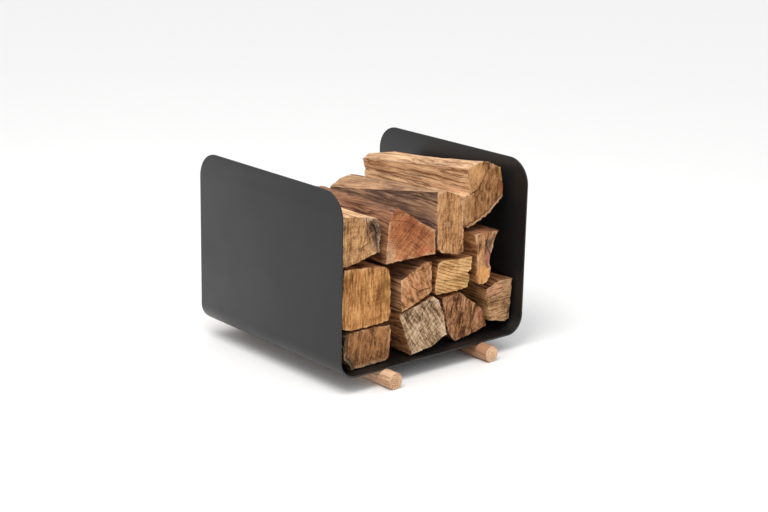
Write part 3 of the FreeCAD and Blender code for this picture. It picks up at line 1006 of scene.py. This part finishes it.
def roughen_sides(mesh, node, spec, settings):
    """Sink the sides into torn fibres, ridges and bark, and let the ends follow them."""
    low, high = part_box(node)
    names = finish_names(spec)
    moves = {}
    rims = {-1: [], 1: []}
    rim_layer = mesh.verts.layers.float["rim"]
    for vertex in mesh.verts:
        sides = [face for face in vertex.link_faces if face.material_index]
        if not sides:
            continue
        inward = -sum((face.normal for face in sides), Vector())
        inward.y = 0
        inward.normalize()
        is_bark = any("bark" in names[face.material_index - 1] for face in sides)
        edge_distance = min(vertex.co.y - low.y, high.y - vertex.co.y)
        near_end = 1 - smoothstep(0.0, CALM_END, edge_distance)
        depth = side_depth(vertex.co, spec["seed"], is_bark, near_end, settings)
        moves[vertex] = inward * depth
        if len(sides) < len(vertex.link_faces):
            side_of = -1 if vertex.co.y < (low.y + high.y) / 2 else 1
            rims[side_of].append((vertex.co.copy(), moves[vertex], is_bark))
            torn = settings.fray_depth * ragged_evenly(vertex.co, 230, spec["seed"])
            moves[vertex] = moves[vertex] + Vector((0, -side_of * torn, 0))
            vertex[rim_layer] = 1.0
    follow_rims(mesh, moves, rims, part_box(node), spec, settings)
    for vertex, move in moves.items():
        vertex.co += move


def torn_depth(place, box, spec, settings):
    """How far a point of a sawn end is torn or sawn away."""
    seed = spec["seed"]
    depth = settings.saw_depth * (ragged_evenly(place, 60, seed)
                                  + 0.7 * ragged_evenly(place, 170, seed))
    for across, up, radius, most in spec["torn"]:
        x, z = place_in_box(box, across, up)
        inside = 1 - smoothstep(0.3, 1.0, math.hypot(place.x - x, place.z - z) / radius)
        depth += most * inside * ragged_evenly(place, 130, seed + 7)
        depth += 0.4 * most * inside * ragged_evenly(place, 320, seed)
    return depth


def follow_rims(mesh, moves, rims, box, spec, settings):
    """Move the points of each sawn end with the outline, less the further in they lie."""
    bark_layer = mesh.verts.layers.float["bark"]
    rim_layer = mesh.verts.layers.float["rim"]
    middle_y = (box[0].y + box[1].y) / 2
    for side_of, rim in rims.items():
        tree = kdtree.KDTree(len(rim))
        bark_tree = kdtree.KDTree(len(rim))
        for number, (place, _, is_bark) in enumerate(rim):
            tree.insert(place, number)
            if is_bark:
                bark_tree.insert(place, number)
        tree.balance()
        bark_tree.balance()
        for vertex in mesh.verts:
            if (vertex.co.y - middle_y) * side_of < 0:
                continue
            if all(face.material_index for face in vertex.link_faces):
                continue
            bark_distance = bark_tree.find(vertex.co)[2]
            if bark_distance is not None:
                vertex[bark_layer] = max(0.0, 1 - bark_distance / BARK_REACH)
            if vertex in moves:
                continue
            place, number, distance = tree.find(vertex.co)
            follow = 1 - smoothstep(0.0, FOLLOW_REACH, distance)
            moves[vertex] = rim[number][1] * follow
            depth = torn_depth(vertex.co, box, spec, settings) * min(1.0, distance / WHOLE_RIM)
            moves[vertex].y -= side_of * depth
            vertex[rim_layer] = max(0.0, 1 - distance / FRAYED_RIM)


def mark_sharp(mesh, limit_degrees):
    """Keep the arrises crisp and the rest of the surface smooth."""
    limit = math.radians(limit_degrees)
    for face in mesh.faces:
        face.smooth = True
    for edge in mesh.edges:
        edge.smooth = edge.calc_face_angle(0.0) < limit


def finish_object(mesh, name, materials):
    """Turn a finished mesh into an object in the scene."""
    data = bpy.data.meshes.new(name)
    mesh.to_mesh(data)
    mesh.free()
    made = bpy.data.objects.new(name, data)
    bpy.context.scene.collection.objects.link(made)
    for material in materials:
        data.materials.append(material)
    return made


def side_materials():
    """The finishes that the logs' sides share, by name."""
    made = {name: split_material(name, **tones) for name, tones in SPLIT_FINISHES.items()}
    made.update({name: bark_material(name, **tones) for name, tones in BARK_FINISHES.items()})
    return made


def build_log(node, shared, settings):
    """One split log, in place of its CAD node."""
    spec = {**PLAIN_LOG, **LOGS[node]}
    mesh = open_log(node)
    sort_sides(mesh, spec)
    divide_round(mesh, settings.skin_step)
    close_ends(mesh, node, spec, settings)
    slice_log(mesh, settings.slice_step)
    bmesh.ops.recalc_face_normals(mesh, faces=mesh.faces)
    mesh.normal_update()
    roughen_sides(mesh, node, spec, settings)
    bmesh.ops.dissolve_degenerate(mesh, dist=MERGE_DISTANCE / 2, edges=mesh.edges[:])
    mesh.normal_update()
    mark_sharp(mesh, SHARP_LOG)
    materials = [sawn_end_material(node.replace("_", " "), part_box(node), spec)]
    materials += [shared[name] for name in finish_names(spec)]
    made = finish_object(mesh, "split_" + node, materials)
    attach(made, node)
    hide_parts(node)
    return made


# --- Rack sheet and foot bars -----------------------------------------------------------


def build_sheet(settings):
    """The bent sheet: a strip drawn along the U, rounded corners, thickness, broken rim."""
    low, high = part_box("rack_sheet")
    radius = settings.bend_radius
    support = 0.004     # a narrow strip beside each bend keeps the flats' shading flat
    mesh = bmesh.new()
    first = mesh.verts.new((low.x, low.y, high.z))
    last = mesh.verts.new((low.x, high.y, high.z))
    front = [mesh.edges.new((first, last))]

    def draw(edges, x, z):
        result = bmesh.ops.extrude_edge_only(mesh, edges=edges)["geom"]
        points = [item for item in result if isinstance(item, bmesh.types.BMVert)]
        bmesh.ops.translate(mesh, verts=points, vec=(x, 0, z))
        return [item for item in result if isinstance(item, bmesh.types.BMEdge)
                and all(vertex in points for vertex in item.verts)]

    def bend(edges, centre_x):
        points = list({vertex for edge in edges for vertex in edge.verts})
        result = bmesh.ops.spin(mesh, geom=[*points, *edges], cent=(centre_x, 0, low.z + radius),
                                axis=(0, -1, 0), angle=math.radians(90),
                                steps=settings.bend_steps)
        return [item for item in result["geom_last"] if isinstance(item, bmesh.types.BMEdge)]

    panel = high.z - low.z - radius
    floor = high.x - low.x - 2 * radius
    edges = draw(front, 0, support - panel)
    edges = draw(edges, 0, -support)
    edges = bend(edges, low.x + radius)
    edges = draw(edges, support, 0)
    edges = draw(edges, floor - 2 * support, 0)
    edges = draw(edges, support, 0)
    edges = bend(edges, high.x - radius)
    edges = draw(edges, 0, support)
    draw(edges, 0, panel - support)
    corners = [vertex for vertex in mesh.verts if vertex.co.z > high.z - MERGE_DISTANCE]
    bmesh.ops.bevel(mesh, geom=corners, offset=settings.corner_radius, segments=20,
                    profile=0.5, affect="VERTICES", material=-1)
    bmesh.ops.recalc_face_normals(mesh, faces=mesh.faces)
    mesh.normal_update()
    left = [face for face in mesh.faces if face.calc_center_median().x < low.x + MERGE_DISTANCE]
    if left[0].normal.x > 0:
        bmesh.ops.reverse_faces(mesh, faces=mesh.faces)
    bmesh.ops.solidify(mesh, geom=mesh.faces[:], thickness=settings.thickness)
    mesh.normal_update()
    rim = [edge for edge in mesh.edges if edge.calc_face_angle(0.0) > math.radians(60)]
    bmesh.ops.bevel(mesh, geom=rim, offset=settings.rim_rounding, segments=3, profile=0.5,
                    affect="EDGES", material=-1)
    return mesh


PITH_ASIDE, PITH_HEIGHT = 0.008, 0.004      # a bar's growth rings are off its own axis
FLAT_MARGIN = 0.0001    # the bars' rings of points lie this close beside the sheet's ends


def build_bar(node, settings):
    """A turned bar: a spun profile with rounded ends, and a flat where the sheet lies."""
    low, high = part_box(node)
    sheet_low, sheet_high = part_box("rack_sheet")
    radius = (high.z - low.z) / 2
    centre = Vector(((low.x + high.x) / 2, 0, low.z + radius))
    mesh = bmesh.new()
    bmesh.ops.create_circle(mesh, cap_ends=True, radius=radius, segments=settings.segments,
                            matrix=Matrix.Translation(Vector((centre.x, low.y, centre.z)))
                            @ Matrix.Rotation(math.radians(90), 4, "X"))
    stops = [sheet_low.y - 2 * FLAT_MARGIN, sheet_low.y + FLAT_MARGIN, 0.0,
             sheet_high.y - FLAT_MARGIN, sheet_high.y + 2 * FLAT_MARGIN, high.y]
    faces = mesh.faces[:]
    here = low.y
    for stop in stops:
        result = bmesh.ops.extrude_face_region(mesh, geom=faces)["geom"]
        moved = [item for item in result if isinstance(item, bmesh.types.BMVert)]
        bmesh.ops.translate(mesh, verts=moved, vec=(0, stop - here, 0))
        if here > low.y:
            bmesh.ops.delete(mesh, geom=faces, context="FACES_ONLY")
        faces = [item for item in result if isinstance(item, bmesh.types.BMFace)]
        here = stop
    bmesh.ops.recalc_face_normals(mesh, faces=mesh.faces)
    mesh.normal_update()
    ends = [edge for edge in mesh.edges if edge.calc_face_angle(0.0) > math.radians(60)]
    bmesh.ops.bevel(mesh, geom=ends, offset=settings.end_rounding, segments=4, profile=0.5,
                    affect="EDGES", material=-1)
    for vertex in mesh.verts:
        if (sheet_low.y - 1.5 * FLAT_MARGIN < vertex.co.y
                < sheet_high.y + 1.5 * FLAT_MARGIN):
            vertex.co.z = min(vertex.co.z, sheet_low.z)
    mesh.normal_update()
    for face in mesh.faces:
        face.material_index = 1 if abs(face.normal.y) > 0.8 else 0
    return mesh


def build_screws(settings):
    """The countersunk screws, lifted so that their flat heads just show over the sheet."""
    mesh = bmesh.new()
    mesh.from_mesh(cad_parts["foot_screws"].data)
    bmesh.ops.remove_doubles(mesh, verts=mesh.verts, dist=MERGE_DISTANCE)
    bmesh.ops.translate(mesh, verts=mesh.verts, vec=(0, 0, settings.head_lift))
    bmesh.ops.recalc_face_normals(mesh, faces=mesh.faces)
    mesh.normal_update()
    return mesh


# --- Operators --------------------------------------------------------------------------


class LOGRACK_OT_sheet(bpy.types.Operator):
    """Build the bent steel sheet with its powder coat"""

    bl_idname = "log_rack.sheet"
    bl_label = "Build the sheet"

    def execute(self, context):
        settings = context.scene.log_rack.sheet
        build_groups()
        mesh = build_sheet(settings)
        mark_sharp(mesh, SHARP_SHEET)
        made = finish_object(mesh, "bent_sheet", [powder_coat_material(settings)])
        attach(made, "rack")
        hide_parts("rack_sheet")
        return {"FINISHED"}


class LOGRACK_OT_foot_bars(bpy.types.Operator):
    """Build the two round wooden foot bars"""

    bl_idname = "log_rack.foot_bars"
    bl_label = "Build the foot bars"

    def execute(self, context):
        settings = context.scene.log_rack.bars
        build_groups()
        # The right bar's darker colour is painted shade from the sheet above, the same beech as
        # the left bar.
        for node, colour in (("left_foot_bar", settings.left_colour),
                             ("right_foot_bar", settings.right_colour_with_painted_shade)):
            low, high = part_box(node)
            pith = ((low.x + high.x) / 2 - PITH_ASIDE, 0.0, PITH_HEIGHT)
            wood = node.split("_")[0] + " beech"
            materials = [turned_beech_material(wood, colour, False, pith),
                         turned_beech_material(wood + " end grain", settings.end_colour, True,
                                               pith)]
            mesh = build_bar(node, settings)
            mark_sharp(mesh, SHARP_BAR)
            made = finish_object(mesh, "turned_" + node, materials)
            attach(made, "rack")
            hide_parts(node)
        return {"FINISHED"}


class LOGRACK_OT_screws(bpy.types.Operator):
    """Build the plated foot screws"""

    bl_idname = "log_rack.screws"
    bl_label = "Build the screws"

    def execute(self, context):
        settings = context.scene.log_rack.screws
        mesh = build_screws(settings)
        mark_sharp(mesh, SHARP_SCREW)
        made = finish_object(mesh, "plated_foot_screws", [plated_steel_material(settings)])
        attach(made, "rack")
        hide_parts("foot_screws")
        return {"FINISHED"}


class LOGRACK_OT_split_logs(bpy.types.Operator):
    """Build every split log of the stack"""

    bl_idname = "log_rack.split_logs"
    bl_label = "Build the split logs"

    def execute(self, context):
        build_groups()
        shared = side_materials()
        for node in LOGS:
            build_log(node, shared, context.scene.log_rack.logs)
        return {"FINISHED"}


class LOGRACK_OT_stage(bpy.types.Operator):
    """Build the floor, the lights and the camera"""

    bl_idname = "log_rack.stage"
    bl_label = "Build the stage"

    def execute(self, context):
        settings = context.scene.log_rack.stage
        build_floor(settings)
        build_lights(context.scene, settings)
        build_camera(context.scene, settings)
        return {"FINISHED"}


def build_floor(settings):
    """A plain floor, large enough to fill every view."""
    mesh = bmesh.new()
    bmesh.ops.create_grid(mesh, x_segments=1, y_segments=1, size=settings.floor_size)
    material, tree, shader = new_material("plain pale floor")
    set_shader(tree, shader, Base_Color=tuple(settings.floor_colour), Roughness=0.9,
               Specular_IOR_Level=0.1)
    finish_object(mesh, "floor", [material])


def build_lights(scene, settings):
    """A white surround and one large soft light above the left front."""
    world = bpy.data.worlds.new("white surround")
    world.use_nodes = True
    background = world.node_tree.nodes["Background"]
    background.inputs["Color"].default_value = (1.0, 1.0, 1.0, 1.0)
    background.inputs["Strength"].default_value = settings.sky_strength
    scene.world = world
    data = bpy.data.lights.new("key light", "AREA")
    data.shape = "SQUARE"
    data.size = settings.key_size
    data.energy = settings.key_power
    data.color = (1.0, 0.98, 0.95)
    made = bpy.data.objects.new("key light", data)
    made.location = settings.key_place
    aim = Vector(settings.key_target) - Vector(settings.key_place)
    made.rotation_euler = aim.to_track_quat("-Z", "Y").to_euler()
    scene.collection.objects.link(made)
    scene.view_settings.view_transform = "Standard"
    scene.view_settings.look = "None"


def build_camera(scene, settings):
    """The camera, placed round its target by azimuth and elevation, then rolled."""
    turn, rise = settings.azimuth, settings.elevation
    back = Vector((math.sin(turn) * math.cos(rise), -math.cos(turn) * math.cos(rise),
                   math.sin(rise)))
    right = Vector((math.cos(turn), math.sin(turn), 0))
    up = back.cross(right)
    rolled_right = right * math.cos(settings.roll) + up * math.sin(settings.roll)
    rolled_up = up * math.cos(settings.roll) - right * math.sin(settings.roll)
    data = bpy.data.cameras.new("camera")
    data.lens = settings.lens
    data.sensor_width = 36.0
    made = bpy.data.objects.new("camera", data)
    axes = Matrix((rolled_right, rolled_up, back)).transposed().to_4x4()
    place = Vector(settings.target) + back * settings.distance
    made.matrix_world = Matrix.Translation(place) @ axes
    scene.collection.objects.link(made)
    scene.camera = made


# --- Panel and registration -------------------------------------------------------------


class LOGRACK_PT_panel(bpy.types.Panel):
    """Settings and build steps of the log rack"""

    bl_idname = "LOGRACK_PT_panel"
    bl_label = "Log Rack"
    bl_space_type = "VIEW_3D"
    bl_region_type = "UI"
    bl_category = "Log Rack"

    def draw(self, context):
        settings = context.scene.log_rack
        for title, group, operator in (
                ("Sheet", settings.sheet, LOGRACK_OT_sheet),
                ("Foot bars", settings.bars, LOGRACK_OT_foot_bars),
                ("Screws", settings.screws, LOGRACK_OT_screws),
                ("Split logs", settings.logs, LOGRACK_OT_split_logs),
                ("Stage", settings.stage, LOGRACK_OT_stage)):
            box = self.layout.box()
            box.label(text=title)
            for name in group.__annotations__:
                box.prop(group, name)
            box.operator(operator.bl_idname)


CLASSES = (
    RackSheetSettings, FootBarSettings, ScrewSettings, SplitLogSettings, StageSettings,
    LogRackSettings, LOGRACK_OT_sheet, LOGRACK_OT_foot_bars, LOGRACK_OT_screws,
    LOGRACK_OT_split_logs, LOGRACK_OT_stage, LOGRACK_PT_panel,
)


def register():
    for cls in CLASSES:
        bpy.utils.register_class(cls)
    bpy.types.Scene.log_rack = PointerProperty(type=LogRackSettings)


def unregister():
    del bpy.types.Scene.log_rack
    for cls in reversed(CLASSES):
        bpy.utils.unregister_class(cls)


def main():
    """Build everything."""
    register()
    bpy.ops.log_rack.sheet()
    bpy.ops.log_rack.foot_bars()
    bpy.ops.log_rack.screws()
    bpy.ops.log_rack.split_logs()
    bpy.ops.log_rack.stage()


if __name__ == "__main__":
    main()
